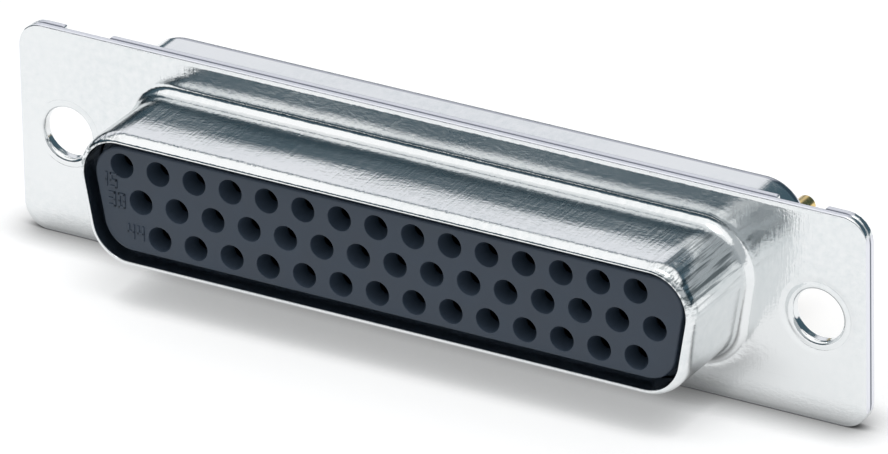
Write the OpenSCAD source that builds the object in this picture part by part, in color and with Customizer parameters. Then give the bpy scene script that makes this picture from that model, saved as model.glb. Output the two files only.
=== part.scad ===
// High-density D-subminiature socket: 44 solder-cup contacts in three rows,
// held by two drawn steel shells around a two-part moulded insulator.
//
// Millimetres. X runs along the connector, Z points up to the wide side of the
// D, and the mating face looks towards -Y. The origin lies midway between the
// mounting holes, on the front face of the flange.

/* [Flange] */
// Length of the flange
flange_w = 53.04; // [45:0.01:60]
// Height of the flange
flange_h = 12.55; // [12.1:0.01:15]
// Radius of the flange's outer corners
flange_corner_r = 1.5; // [0.6:0.1:2.5]
// Distance from each mounting hole's centre to the flange's end
hole_edge = 3; // [2.5:0.05:4]
// Bore of the mounting holes
hole_d = 3.05; // [2.6:0.05:3.4]
// Thickness of the front shell's sheet
front_sheet = 0.42; // [0.3:0.01:0.5]
// Thickness of the rear shell's sheet
rear_sheet = 0.42; // [0.3:0.01:0.5]

/* [Mating skirt] */
// How far the rear body stands out past the skirt at each end
end_step = 1.45; // [1.3:0.01:2]
// Outside height of the skirt
skirt_h = 7.90; // [7.7:0.01:8.3]
// Outside corner radius of the skirt
skirt_corner_r = 2.64; // [2:0.01:3]
// Lean of the D's two short sides
side_angle = 10; // [6:0.5:14]
// How far the skirt stands out from the flange
skirt_reach = 5.9; // [5:0.1:8]
// Inside radius of the bend between flange and skirt
skirt_bend_r = 0.4; // [0.2:0.05:0.6]
// Outside radius of the skirt's rounded mouth
mouth_r = 0.36; // [0.1:0.02:0.4]

/* [Rear shell] */
// Distance from each mounting hole's centre to the end of the rear body
body_gap = 2.88; // [2.6:0.01:4]
// Outside height of the rear body
rear_h = 10.72; // [10.4:0.01:11]
// Outside corner radius of the rear body
rear_corner_r = 2.5; // [2:0.05:3]
// Depth of the rear body behind the flange's front face
rear_depth = 4.6; // [3.6:0.1:6]
// Inside radius of the bend between flange and rear body
rear_bend_r = 0.3; // [0.1:0.05:0.35]
// Outside radius of the rear body's turned-in edge
rim_bend_r = 0.75; // [0.6:0.05:0.9]
// How far the turned-in edge reaches in from the outside
rim_reach = 1.5; // [1.2:0.1:1.9]
// Length of each notch in the rear shell's long edges
notch_w = 2.9; // [1:0.1:3.2]
// Depth of each notch
notch_depth = 0.6; // [0.2:0.05:0.9]
// Distance of each notch's middle from the mounting hole's centre, inwards
notch_inset = 1.21; // [0.3:0.01:1.5]

/* [Collars] */
// Wall of the swaged collar in each mounting hole
collar_wall = 0.2; // [0.12:0.01:0.25]
// How far the collar's lip flares out beyond its wall
collar_flare = 0.25; // [0.1:0.01:0.35]
// Radial gap between the collar and the front shell
collar_clear = 0.04; // [0.02:0.01:0.1]
// Depth of the seat that the collar's lip lies in
flare_depth = 0.2; // [0.1:0.01:0.25]
// Radius of the collar's rounded mouth
collar_round = 0.24; // [0.1:0.01:0.3]
// Radius of the bend where the collar is drawn out of the rear shell's sheet
drawn_round = 0.3; // [0.1:0.01:0.35]

/* [Insulator] */
// Gap between the mouth and the insulator's face
face_gap = 0.45; // [0.2:0.05:0.7]
// How far the face lies behind the mouth
face_recess = 0.5; // [0.2:0.05:1]
// Depth of the groove around the face
groove_depth = 1.8; // [1:0.1:2.5]
// Bevel around the edge of the face
face_bevel = 0.12; // [0.05:0.01:0.2]
// Clearance between the insulators and the shells
fit_clear = 0.05; // [0.02:0.01:0.1]
// Thickness of the front insulator's shoulder
shoulder_t = 1.5; // [1.2:0.1:1.7]
// How far the rear insulator stands out of the rear shell
rear_boss = 0.5; // [0.3:0.1:2]
// Height of the moulded contact numbers
digit_h = 0.9; // [0.6:0.05:1]
// Width of each digit
digit_w = 0.45; // [0.3:0.05:0.5]
// Gap between the two digits
digit_gap = 0.16; // [0.08:0.02:0.2]
// Width of the strokes of the numbers
digit_stroke = 0.14; // [0.08:0.01:0.18]
// How far the numbers stand off the face
digit_relief = 0.06; // [0.03:0.01:0.1]

/* [Contacts] */
// Distance between neighbours in a row
pitch = 2.29; // [2.2:0.01:2.32]
// Distance between rows
row_gap = 1.98; // [1.95:0.01:2]
// Least distance from an end contact's centre to the end of the skirt
end_margin = 2.5; // [2.3:0.05:3.2]
// Mouth of each contact hole
entry_d = 1.45; // [1.3:0.05:1.6]
// Throat of each contact hole
throat_d = 1.0; // [0.85:0.05:1.1]
// Depth of the straight part of the mouth
entry_straight = 0.25; // [0.1:0.05:0.4]
// Depth of the funnel from mouth to throat
entry_funnel = 0.55; // [0.3:0.05:0.8]
// Depth of the throat
throat_depth = 0.3; // [0.2:0.05:0.5]
// Diameter of the pin that the contact takes
pin_d = 0.76; // [0.7:0.01:0.8]
// Diameter of the contact's socket barrel
barrel_d = 1.2; // [1.1:0.05:1.35]
// Bevel around the tip of the socket barrel
tip_bevel = 0.1; // [0.05:0.01:0.15]
// Depth of the socket bore
socket_depth = 4.2; // [3.5:0.1:5]
// Length of the slots that make the socket springy
slot_l = 3; // [2:0.1:3.4]
// Width of the slots
slot_w = 0.2; // [0.1:0.02:0.3]
// Diameter of the retaining collar
flange_d = 1.7; // [1.6:0.05:1.75]
// Length of the retaining collar
flange_l = 0.8; // [0.4:0.1:1]
// Diameter of the tail and its solder cup
cup_d = 1.1; // [1:0.05:1.2]
// Bore of the solder cup
cup_bore = 0.8; // [0.6:0.05:0.85]
// Depth of the solder cup
cup_depth = 2.4; // [1.5:0.1:3]
// Length of the cut-away side of the cup
scoop_l = 1.7; // [1:0.1:2.2]
// Reach of the upper and lower rows' tails behind the flange's front face
outer_tail = 8.6; // [8.2:0.1:10]
// Reach of the middle row's tails behind the flange's front face
middle_tail = 11.5; // [11:0.1:14]
// Radial clearance between a contact and its cavity
contact_clear = 0.05; // [0.03:0.01:0.08]
// Radial clearance between a mating pin and the socket bore
pin_clear = 0.02; // [0.01:0.01:0.04]

/* [Hidden] */
$fn = 48;
EPS = 0.01;
// How far a drawn form laps over the flange that it is one piece with.
LAP = 0.3;
// Flat steps in each corner of a D, and in each bend of the sheet.
ARC_STEPS = 10;
BEND_STEPS = 5;
// How far a cut runs past the surface that it opens.
CUT = 1;
// Where the middle of each row's number lies from the middle of its end hole.
NUMBER_PLACES = [[-0.87, -1.0], [-1.52, -0.15], [-1.52, 0.1]];
// Which bars of a seven-bar digit are drawn: top, upper right, lower right,
// bottom, lower left, upper left, middle.
DIGIT_BARS = [
    [1, 1, 1, 1, 1, 1, 0], [0, 1, 1, 0, 0, 0, 0], [1, 1, 0, 1, 1, 0, 1],
    [1, 1, 1, 1, 0, 0, 1], [0, 1, 1, 0, 0, 1, 1], [1, 0, 1, 1, 0, 1, 1],
    [1, 0, 1, 1, 1, 1, 1], [1, 1, 1, 0, 0, 0, 0], [1, 1, 1, 1, 1, 1, 1],
    [1, 1, 1, 1, 0, 1, 1]
];

// Lengths along X, each from the one before it: the holes from the flange, the
// rear body from the holes, the skirt from the body, the contacts from the skirt.
hole_spacing = flange_w - 2 * hole_edge;
rear_w = hole_spacing - 2 * body_gap;
skirt_w = rear_w - 2 * end_step;
notch_x = hole_spacing / 2 - notch_inset;
FULL_ROW = 1 + floor((skirt_w - 2 * end_margin - pitch / 2) / pitch);
ROW_COUNTS = [FULL_ROW, FULL_ROW, FULL_ROW - 1];
CONTACTS = ROW_COUNTS[0] + ROW_COUNTS[1] + ROW_COUNTS[2];
FIRST_OF_ROW = [1, ROW_COUNTS[0] + 1, ROW_COUNTS[0] + ROW_COUNTS[1] + 1];

// Depths along the mating axis, from the flange's front face: plus is forward.
shell_back = -front_sheet;
flange_back = -front_sheet - rear_sheet;
face_z = skirt_reach - face_recess;
groove_z = skirt_reach - groove_depth;
split_z = shell_back - shoulder_t;
rim_z = -rear_depth + rear_sheet;
tail_side_z = -rear_depth - rear_boss;
throat_z = face_z - entry_straight - entry_funnel - throat_depth;
tip_z = throat_z - contact_clear;
collar_r = hole_d / 2 + collar_wall;

// D outlines, each as [width, height, corner radius] of its outside.
skirt_d = [skirt_w, skirt_h, skirt_corner_r];
rear_d = [rear_w, rear_h, rear_corner_r];
shoulder_d = inset(rear_d, rear_sheet + fit_clear);
body_inset = front_sheet + fit_clear;
face_inset = front_sheet + face_gap;

function inset(d, by) = [d[0] - 2 * by, d[1] - 2 * by, d[2] - by];
function pad2(i) = i < 10 ? str("0", i) : str(i);
function contact_name(i) = str("contact_", pad2(i));
function row_of(i) = i < FIRST_OF_ROW[1] ? 0 : i < FIRST_OF_ROW[2] ? 1 : 2;
// The first row sits a quarter pitch to one side and the others to the other.
function row_middle(row) = row == 0 ? -pitch / 4 : pitch / 4;
function contact_x(i) =
    let (row = row_of(i), place = i - FIRST_OF_ROW[row])
    row_middle(row) + pitch * ((ROW_COUNTS[row] - 1) / 2 - place);
function contact_y(i) = row_gap * (1 - row_of(i));
function tail_reach(i) = row_of(i) == 1 ? middle_tail : outer_tail;

// Centres of a D's corners, anticlockwise from the upper right, with the
// direction in which each corner's arc starts and the angle it turns through.
function d_corners(d) =
    let (
        high = d[1] / 2 - d[2],
        wide = d[0] / 2 - d[2],
        narrow = wide - 2 * high * tan(side_angle)
    )
    [[wide, high], [-wide, high], [-narrow, -high], [narrow, -high]];
D_STARTS = [-side_angle, 90, 180 + side_angle, 270];
D_TURNS = [90 + side_angle, 90 + side_angle, 90 - side_angle, 90 - side_angle];

// Outline of a D moved outwards by a distance, as points running anticlockwise.
function d_ring(d, by) =
    let (c = d_corners(d))
    [
        for (k = [0 : 3], s = [0 : ARC_STEPS])
            let (a = D_STARTS[k] + D_TURNS[k] * s / ARC_STEPS)
            c[k] + (d[2] + by) * [cos(a), sin(a)]
    ];
// Points of an arc in a section, from one direction to another.
function arc(centre, r, from, to) =
    [for (s = [0 : BEND_STEPS]) centre + r * [cos(from + (to - from) * s / BEND_STEPS),
                                              sin(from + (to - from) * s / BEND_STEPS)]];
// Faces that join each ring of n points to the next of m rings.
function skin(n, m, closed) = [
    for (j = [0 : m - (closed ? 1 : 2)], i = [0 : n - 1])
        let (up = (j + 1) % m, next = (i + 1) % n)
        [up * n + i, up * n + next, j * n + next, j * n + i]
];

// Turns the drawing frame, whose Z points out of the mating face, into the part's.
module upright() {
    rotate([90, 0, 0]) children();
}

// Points of a section's [distance outside the outline, depth] carried round a D.
function d_points(d, section) =
    [for (p = section) for (q = d_ring(d, p[0])) [q[0], q[1], p[1]]];

// A solid D whose side has the given section, from its back to its front.
module d_solid(d, section) {
    n = len(d_ring(d, 0));
    m = len(section);
    back = [for (i = [0 : n - 1]) i];
    front = [for (i = [n - 1 : -1 : 0]) (m - 1) * n + i];
    polyhedron(d_points(d, section), concat([back, front], skin(n, m, false)));
}

// A closed section carried round a D, like drawn sheet. The section's points
// run anticlockwise.
module d_sheet(d, section) {
    polyhedron(d_points(d, section), skin(len(d_ring(d, 0)), len(section), true));
}

// A plain D block between two depths.
module d_block(d, z0, z1) {
    translate([0, 0, z0]) linear_extrude(z1 - z0) polygon(d_ring(d, 0));
}

// The flange's sheet, with round corners.
module flange_plate(z0, sheet) {
    x = flange_w / 2 - flange_corner_r;
    y = flange_h / 2 - flange_corner_r;
    r = flange_corner_r;
    translate([0, 0, z0]) {
        linear_extrude(sheet) polygon([
            [x + r, -y], [x + r, y], [x, y], [x, y + r], [-x, y + r], [-x, y],
            [-x - r, y], [-x - r, -y], [-x, -y], [-x, -y - r], [x, -y - r], [x, -y]
        ]);
        for (k = [0 : 3])
            translate([k == 0 || k == 3 ? x : -x, k < 2 ? y : -y, 0])
                rotate(90 * k) rotate_extrude(angle = 90) square([r, sheet]);
    }
}

module at_mounting_holes() {
    for (s = [-1, 1]) translate([s * hole_spacing / 2, 0, 0]) children();
}

// Section of the skirt: the flange beside it, the bend, the wall and the mouth.
function skirt_section() =
    let (
        bend = [skirt_bend_r, skirt_bend_r],
        edge = skirt_bend_r + LAP,
        mouth = min(mouth_r, front_sheet - EPS)
    )
    concat(
        arc(bend, skirt_bend_r + front_sheet, 180, 270),
        [[edge, -front_sheet], [edge, 0]],
        arc(bend, skirt_bend_r, 270, 180),
        arc([-mouth, skirt_reach - mouth], mouth, 0, 90),
        [[-front_sheet, skirt_reach]]
    );

module front_shell() {
    hole_r = collar_r + collar_clear;
    color("gainsboro") upright() {
        difference() {
            flange_plate(shell_back, front_sheet);
            d_block(inset(skirt_d, -skirt_bend_r - LAP / 2), shell_back - CUT, CUT);
            at_mounting_holes() {
                translate([0, 0, shell_back - CUT]) cylinder(r = hole_r, h = 2 * CUT);
                translate([0, 0, -flare_depth])
                    cylinder(r1 = hole_r, r2 = hole_r + collar_flare, h = flare_depth);
            }
        }
        d_sheet(skirt_d, skirt_section());
    }
}

// Section of the rear body: the flange beside it, the bend, the wall and the rim.
function rear_section() =
    let (
        bend = [rear_bend_r, flange_back - rear_bend_r],
        edge = rear_bend_r + LAP,
        rim = [-rim_bend_r, rim_bend_r - rear_depth]
    )
    concat(
        [[-rim_reach, -rear_depth]],
        arc(rim, rim_bend_r, -90, 0),
        arc(bend, rear_bend_r, 180, 90),
        [[edge, flange_back], [edge, shell_back]],
        arc(bend, rear_bend_r + rear_sheet, 90, 180),
        arc(rim, rim_bend_r - rear_sheet, 0, -90),
        [[-rim_reach, rim_z]]
    );

// The collar drawn out of the rear shell, swaged over into the front shell.
module collar() {
    rotate_extrude() polygon([
        [0, flange_back], [collar_r, flange_back], [collar_r, -flare_depth],
        [collar_r + collar_flare, 0], [0, 0]
    ]);
}

// What a rounded edge takes off a bore's mouth, which opens upwards at the origin.
module rounded_mouth(bore_r, edge_r) {
    rotate_extrude() difference() {
        translate([0, -edge_r]) square([bore_r + edge_r, edge_r + CUT]);
        translate([bore_r + edge_r, -edge_r]) circle(r = edge_r);
    }
}

// The bore of a collar, rounded at its mouth and where it is drawn out of the sheet.
module collar_bore() {
    r = hole_d / 2;
    translate([0, 0, flange_back - CUT]) cylinder(r = r, h = 2 * CUT - flange_back);
    rounded_mouth(r, collar_round);
    translate([0, 0, flange_back]) mirror([0, 0, 1]) rounded_mouth(r, drawn_round);
}

module rear_shell() {
    notch_bottom = flange_h / 2 - notch_depth;
    color("silver") upright() difference() {
        union() {
            difference() {
                flange_plate(flange_back, rear_sheet);
                d_block(inset(rear_d, -rear_bend_r - LAP / 2), flange_back - CUT, CUT);
            }
            d_sheet(rear_d, rear_section());
            at_mounting_holes() collar();
        }
        at_mounting_holes() collar_bore();
        for (sx = [-1, 1], sy = [-1, 1])
            translate([sx * notch_x, sy * (notch_bottom + CUT), flange_back])
                cube([notch_w, 2 * CUT, 2 * rear_sheet + CUT], center = true);
    }
}

// Puts its children at the middle of every contact.
module at_contacts() {
    for (i = [1 : CONTACTS]) translate([contact_x(i), contact_y(i), 0]) children();
}

// The space that a contact takes in the front insulator, with the funnel that
// guides the mating pin in.
module front_cavity() {
    entry_r = entry_d / 2;
    throat_r = throat_d / 2;
    barrel_r = barrel_d / 2 + contact_clear;
    pocket_r = flange_d / 2 + contact_clear;
    pocket_z = split_z + flange_l / 2 + contact_clear;
    rotate_extrude() polygon([
        [0, split_z - CUT], [pocket_r, split_z - CUT], [pocket_r, pocket_z],
        [barrel_r, pocket_z], [barrel_r, throat_z], [throat_r, throat_z],
        [throat_r, throat_z + throat_depth], [entry_r, face_z - entry_straight],
        [entry_r, face_z + CUT], [0, face_z + CUT]
    ]);
}

// One seven-bar digit, standing on the face with its middle at the origin.
module digit(n) {
    w = digit_w - digit_stroke;
    h = (digit_h - digit_stroke) / 2;
    // Middle of each bar, and whether it lies flat.
    bars = [
        [0, h, true], [w / 2, h / 2, false], [w / 2, -h / 2, false], [0, -h, true],
        [-w / 2, -h / 2, false], [-w / 2, h / 2, false], [0, 0, true]
    ];
    for (k = [0 : 6])
        if (DIGIT_BARS[n][k] == 1)
            translate([bars[k][0], bars[k][1], 0])
                cube([
                    (bars[k][2] ? w : 0) + digit_stroke,
                    (bars[k][2] ? 0 : h) + digit_stroke,
                    2 * digit_relief
                ], center = true);
}

// The number of a row's last contact, standing on the face beside its hole.
module row_number(row) {
    end_contact = FIRST_OF_ROW[row] + ROW_COUNTS[row] - 1;
    digits = [floor(end_contact / 10), end_contact % 10];
    place = NUMBER_PLACES[row];
    translate([contact_x(end_contact) + place[0], contact_y(end_contact) + place[1], face_z])
        for (k = [0, 1]) translate([(k - 1 / 2) * (digit_w + digit_gap), 0, 0])
            digit(digits[k]);
}

// Side of the front insulator from its shoulder to its face.
function front_mould_section() = [
    [-body_inset, split_z + shoulder_t / 2], [-body_inset, groove_z],
    [-face_inset, groove_z], [-face_inset, face_z - face_bevel],
    [-face_inset - face_bevel, face_z]
];

module front_insulator() {
    color([0.24, 0.27, 0.33]) upright() {
        difference() {
            union() {
                d_solid(skirt_d, front_mould_section());
                d_block(shoulder_d, split_z, shell_back);
            }
            at_contacts() front_cavity();
        }
        for (row = [0 : 2]) row_number(row);
    }
}

// Side of the rear insulator from its back to its front, with the corner taken
// off where the rear shell turns in.
function rear_mould_section() =
    let (
        shoulder = rear_sheet + fit_clear,
        boss = rim_reach + fit_clear,
        corner = rim_bend_r - rear_sheet
    )
    [
        [-boss - face_bevel, tail_side_z], [-boss, tail_side_z + face_bevel],
        [-boss, rim_z + fit_clear], [-shoulder - corner, rim_z + fit_clear],
        [-shoulder, rim_z + fit_clear + corner], [-shoulder, split_z]
    ];

module rear_insulator() {
    pocket_r = flange_d / 2 + contact_clear;
    pocket_z = split_z - flange_l / 2 - contact_clear;
    color([0.2, 0.23, 0.28]) upright() {
        difference() {
            d_solid(rear_d, rear_mould_section());
            at_contacts() {
                translate([0, 0, pocket_z]) cylinder(r = pocket_r, h = split_z - pocket_z + CUT);
                translate([0, 0, tail_side_z - CUT])
                    cylinder(r = cup_d / 2 + contact_clear, h = split_z - tail_side_z + CUT);
            }
        }
    }
}

// One contact: a slotted socket in front, a retaining collar, and a solder cup
// whose side is cut away, above in the top row and below in the other two.
module contact(i) {
    bore_r = pin_d / 2 + pin_clear;
    tail_z = -tail_reach(i);
    cup_floor = tail_z + cup_depth;
    scoop_z = tail_z + scoop_l;
    open_up = row_of(i) == 0;
    color("gold") upright() translate([contact_x(i), contact_y(i), 0]) difference() {
        rotate_extrude() polygon([
            [0, tip_z - socket_depth], [bore_r, tip_z - socket_depth], [bore_r, tip_z],
            [barrel_d / 2 - tip_bevel, tip_z], [barrel_d / 2, tip_z - tip_bevel],
            [barrel_d / 2, split_z + flange_l / 2], [flange_d / 2, split_z + flange_l / 2],
            [flange_d / 2, split_z - flange_l / 2], [cup_d / 2, split_z - flange_l / 2],
            [cup_d / 2, tail_z], [cup_bore / 2, tail_z], [cup_bore / 2, cup_floor],
            [0, cup_floor]
        ]);
        translate([-slot_w / 2, -barrel_d, tip_z - slot_l])
            cube([slot_w, 2 * barrel_d, slot_l + CUT]);
        mirror([0, open_up ? 0 : 1, 0]) {
            translate([-cup_d, 0, tail_z - CUT])
                cube([2 * cup_d, cup_d, scoop_l - cup_d / 2 + CUT]);
            translate([-cup_d, cup_d / 2, scoop_z - cup_d / 2]) rotate([0, 90, 0])
                cylinder(r = cup_d / 2, h = 2 * cup_d);
        }
    }
}

front_shell();
rear_shell();
front_insulator();
rear_insulator();
for (i = [1 : CONTACTS])
    contact(i);
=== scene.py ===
# High-density D-sub socket: two drawn and plated steel shells, a two-part moulded
# insulator and 44 gold-plated solder-cup contacts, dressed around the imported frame.
#
# Metres. X runs along the connector, Z points up, and the mating face looks
# towards -Y. Outlines are drawn in a plane of x and h (up), and each ring of a
# surface lies at a depth d, which counts outwards from the flange's front face.
import math

import bmesh
import bpy
from bpy.props import FloatProperty, FloatVectorProperty, IntProperty, PointerProperty
from bpy.types import Operator, Panel, PropertyGroup
from mathutils import Matrix, Vector
from mathutils.geometry import tessellate_polygon


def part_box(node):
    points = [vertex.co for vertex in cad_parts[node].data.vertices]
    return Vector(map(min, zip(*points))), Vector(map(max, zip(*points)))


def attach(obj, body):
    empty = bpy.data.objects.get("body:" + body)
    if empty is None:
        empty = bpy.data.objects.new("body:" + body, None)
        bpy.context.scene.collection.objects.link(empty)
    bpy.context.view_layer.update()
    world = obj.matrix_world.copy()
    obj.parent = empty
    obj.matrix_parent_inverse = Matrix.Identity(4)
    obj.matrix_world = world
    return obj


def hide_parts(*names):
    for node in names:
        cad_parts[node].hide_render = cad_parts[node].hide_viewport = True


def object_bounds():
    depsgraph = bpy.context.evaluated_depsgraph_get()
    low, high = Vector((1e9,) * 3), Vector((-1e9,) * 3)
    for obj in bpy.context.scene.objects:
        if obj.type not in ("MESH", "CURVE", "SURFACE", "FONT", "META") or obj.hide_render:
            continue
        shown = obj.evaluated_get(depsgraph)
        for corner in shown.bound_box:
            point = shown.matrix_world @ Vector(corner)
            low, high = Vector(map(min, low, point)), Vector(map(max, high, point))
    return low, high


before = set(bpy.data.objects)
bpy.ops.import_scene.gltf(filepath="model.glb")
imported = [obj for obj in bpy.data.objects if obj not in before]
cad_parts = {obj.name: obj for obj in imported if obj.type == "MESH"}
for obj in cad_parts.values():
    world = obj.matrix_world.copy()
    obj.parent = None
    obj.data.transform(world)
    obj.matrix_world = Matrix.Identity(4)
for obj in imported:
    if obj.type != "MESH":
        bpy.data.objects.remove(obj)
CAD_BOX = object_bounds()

bl_info = {
    "name": "High-density D-sub socket",
    "version": (1, 0, 0),
    "blender": (4, 5, 0),
    "location": "3D View > Sidebar > Connector",
    "description": "Plated shells, insulator and solder-cup contacts of a D-sub socket",
    "category": "Add Mesh",
}

MM = 0.001
BODY = "root"
CONTACT_NODES = sorted(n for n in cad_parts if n.startswith("contact_"))
# Flat strip beside each bend and corner, which keeps the flat faces' shading flat.
SUPPORT = 0.03 * MM
# Edges that turn by more than this are drawn sharp.
SHARP_ANGLE = math.radians(35)


# ---------------------------------------------------------------- Settings


def distance(name, description, millimetres):
    """A length that the sidebar shows with its unit."""
    return FloatProperty(
        name=name,
        description=description,
        default=millimetres * MM,
        min=0,
        unit="LENGTH",
        precision=5,
    )


def colour(name, description, value):
    """A colour that the sidebar shows as a swatch."""
    return FloatVectorProperty(
        name=name, description=description, default=value, subtype="COLOR", min=0, max=1
    )


def angle(name, description, degrees):
    """An angle that the sidebar shows in degrees."""
    return FloatProperty(
        name=name, description=description, default=math.radians(degrees), subtype="ANGLE"
    )


def factor(name, description, value, highest=1.0):
    """A plain number between nothing and a highest value."""
    return FloatProperty(name=name, description=description, default=value, min=0, max=highest)


class ShellSettings(PropertyGroup):
    """Sizes of the two drawn shells that their boxes don't give."""

    flange_corner: distance("Flange corner", "Radius of the flange's outer corners", 1.5)
    edge_round: distance("Edge round", "Radius left on the sheet's sheared edges", 0.09)
    roll_width: distance("Die roll width", "Width of the soft roll along sheared edges", 0.32)
    roll_drop: distance("Die roll drop", "How far that roll falls away at the edge", 0.035)
    side_angle: angle("Side lean", "Lean of the D's two short sides", 10)
    skirt_margin: distance("Skirt margin", "From the flange's end to the skirt", 7.33)
    skirt_height: distance("Skirt height", "Outside height of the skirt", 7.9)
    skirt_corner: distance("Skirt corner", "Outside corner radius of the skirt", 2.64)
    skirt_bend: distance("Skirt bend", "Reach of the bend at the skirt's base", 0.55)
    bend_length: distance("Bend length", "Length of that bend along the skirt", 0.7)
    sink_width: distance("Sink width", "Width of the sheet's sink round the skirt", 0.7)
    sink_drop: distance("Sink drop", "Depth of that sink", 0.058)
    mouth_round: distance("Mouth round", "Length of the round at the skirt's mouth", 0.8)
    rear_margin: distance("Rear margin", "From the flange's end to the rear body", 5.88)
    rear_height: distance("Rear height", "Outside height of the rear body", 10.72)
    rear_corner: distance("Rear corner", "Outside corner radius of the rear body", 2.5)
    rear_bend: distance("Rear bend", "Inside radius of the rear body's bend", 0.3)
    rim_bend: distance("Rim bend", "Outside radius of the turned-in rim", 0.75)
    rim_reach: distance("Rim reach", "How far the rim reaches in", 1.5)
    hole_edge: distance("Hole edge", "From the flange's end to a mounting hole's centre", 3.0)
    hole_bore: distance("Hole bore", "Bore of the mounting holes", 3.05)
    collar_wall: distance("Collar wall", "Wall of the collar in each mounting hole", 0.2)
    collar_flare: distance("Collar flare", "How far the collar's lip flares out", 0.25)
    collar_gap: distance("Collar gap", "Gap between collar and front shell", 0.04)
    collar_round: distance("Collar round", "Radius of the collar's mouth", 0.24)
    drawn_round: distance("Drawn round", "Radius where a collar leaves the rear sheet", 0.3)
    flare_depth: distance("Flare depth", "Depth of the seat under the collar's lip", 0.2)
    dimple_width: distance("Dimple width", "Width of the soft dimple round a collar", 0.35)
    dimple_drop: distance("Dimple drop", "Depth of that dimple", 0.03)
    notch_width: distance("Notch width", "Length of each notch in the rear shell", 2.9)
    notch_depth: distance("Notch depth", "Depth of each notch", 0.6)
    notch_inset: distance("Notch inset", "From a hole's centre in to a notch's middle", 1.21)
    notch_round: distance("Notch round", "Radius of the notches' corners", 0.12)


class InsulatorSettings(PropertyGroup):
    """Sizes of the moulded insulator."""

    face_gap: distance("Face gap", "Gap between the mouth and the face", 0.45)
    face_recess: distance("Face recess", "How far the face lies behind the mouth", 0.5)
    face_bevel: distance("Face bevel", "Round along the face's edge", 0.12)
    groove_depth: distance("Groove depth", "Depth of the groove round the face", 1.8)
    fit_gap: distance("Fit gap", "Gap between insulators and shells", 0.05)
    entry_bore: distance("Entry bore", "Mouth of each contact hole", 1.45)
    entry_edge: distance("Entry edge", "Round at the mouth of each contact hole", 0.03)
    entry_straight: distance("Entry straight", "Depth of the straight mouth", 0.25)
    entry_funnel: distance("Entry funnel", "Depth of the funnel behind it", 0.55)
    throat_bore: distance("Throat bore", "Throat of each contact hole", 1.0)
    throat_depth: distance("Throat depth", "Depth of the throat", 0.3)
    cavity_gap: distance("Cavity gap", "Gap round a contact in its cavity", 0.05)
    digit_height: distance("Digit height", "Height of the moulded numbers", 0.9)
    digit_width: distance("Digit width", "Width of one digit", 0.45)
    digit_gap: distance("Digit gap", "Gap between the two digits", 0.16)
    digit_stroke: distance("Digit stroke", "Width of the digits' strokes", 0.14)
    digit_relief: distance("Digit relief", "How far the numbers stand off the face", 0.06)


class ContactSettings(PropertyGroup):
    """Sizes of the contacts."""

    barrel: distance("Barrel", "Diameter of the socket barrel", 1.2)
    bore: distance("Bore", "Bore of the socket", 0.8)
    bore_depth: distance("Bore depth", "Depth of the socket's bore", 4.2)
    tip_bevel: distance("Tip bevel", "Bevel round the socket's tip", 0.1)
    slot_width: distance("Slot width", "Width of the socket's slots", 0.2)
    slot_length: distance("Slot length", "Length of the socket's slots", 3.0)
    retainer: distance("Retaining collar", "Diameter of the retaining collar", 1.7)
    retainer_length: distance("Collar length", "Length of the retaining collar", 0.8)
    cup: distance("Cup", "Diameter of the tail and its solder cup", 1.1)
    cup_bore: distance("Cup bore", "Bore of the solder cup", 0.8)
    cup_depth: distance("Cup depth", "Depth of the solder cup", 2.4)
    scoop: distance("Scoop", "Length of the cup's cut-away side", 1.7)
    edge_round: distance("Edge round", "Round on the turned edges", 0.025)


class FinishSettings(PropertyGroup):
    """Colours and gloss of the surfaces."""

    plate: colour("Plating", "Colour of the shells' bright plating", (0.80, 0.815, 0.82))
    plate_dull: colour("Dull plating", "Colour where the plating is dull", (0.72, 0.75, 0.76))
    plate_roughness: factor("Plating roughness", "Roughness of the shells", 0.13)
    edge: colour("Sheared edge", "Colour of the sheets' sheared edges", (0.78, 0.79, 0.84))
    # Seam shade: a line of painted shade along the sheared edges, where the two sheets meet and
    # behind the rear sheet.
    seam: colour("Seam", "Colour of the seam along the sheared edges", (0.16, 0.17, 0.21))
    # Painted shade: the rear shell's turned-in rim is painted darker, standing in for the dark it
    # reflects.
    rim: colour("Turned-in rim", "Colour where the rear shell's rim turns in", (0.34, 0.35, 0.40))
    # Draw marks: real marks at the skirt's corners, their dark tone a painted dark reflection.
    marks_and_dark_reflection: colour("Draw marks", "Colour of the marks at the skirt's corners", (0.10, 0.13, 0.14))
    mould: colour("Moulding", "Colour of the insulator", (0.034, 0.050, 0.075))
    mould_dull: colour("Moulding haze", "Colour of the insulator's haze", (0.042, 0.061, 0.090))
    gold: colour("Gold", "Colour of the contacts' plating", (0.90, 0.66, 0.26))


class StageSettings(PropertyGroup):
    """Camera, light and floor."""

    azimuth: angle("Azimuth", "Camera's turn to the right of the mating face", 30.75)
    elevation: angle("Elevation", "Camera's height above the horizon", 26.5)
    roll: angle("Roll", "Camera's turn about its own axis", -1.2)
    distance: distance("Distance", "Camera's distance from its target", 650)
    target_x: FloatProperty(
        name="Target X", description="Camera's target along X", default=0.485 * MM, unit="LENGTH"
    )
    target_z: FloatProperty(
        name="Target Z", description="Camera's target along Z", default=-0.105 * MM, unit="LENGTH"
    )
    view_width: distance("View width", "Width that the picture spans at the target", 48.1)
    floor_size: distance("Floor", "Length of the floor's side", 3000)
    # The contact shadow is painted into the floor's colour.
    contact_reach: distance("Contact shadow", "Reach of the shadow close to the object", 2.6)
    overhead: factor("Overhead", "Brightness of the overhead light", 1.18, 5)
    backdrop: colour("Backdrop", "Colour of the backdrop behind the object", (0.92, 0.93, 0.97))
    dark: colour("Unlit room", "Colour of the unlit room", (0.065, 0.112, 0.143))
    dim: colour("Front light", "Colour of the dim light to the front", (0.50, 0.53, 0.55))


# ---------------------------------------------------------------- Outlines


def line_crossing(p, u, q, v):
    """The point where the line through p along u meets the line through q along v."""
    cross = u.x * v.y - u.y * v.x
    along = ((q.x - p.x) * v.y - (q.y - p.y) * v.x) / cross
    return p + u * along


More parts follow.
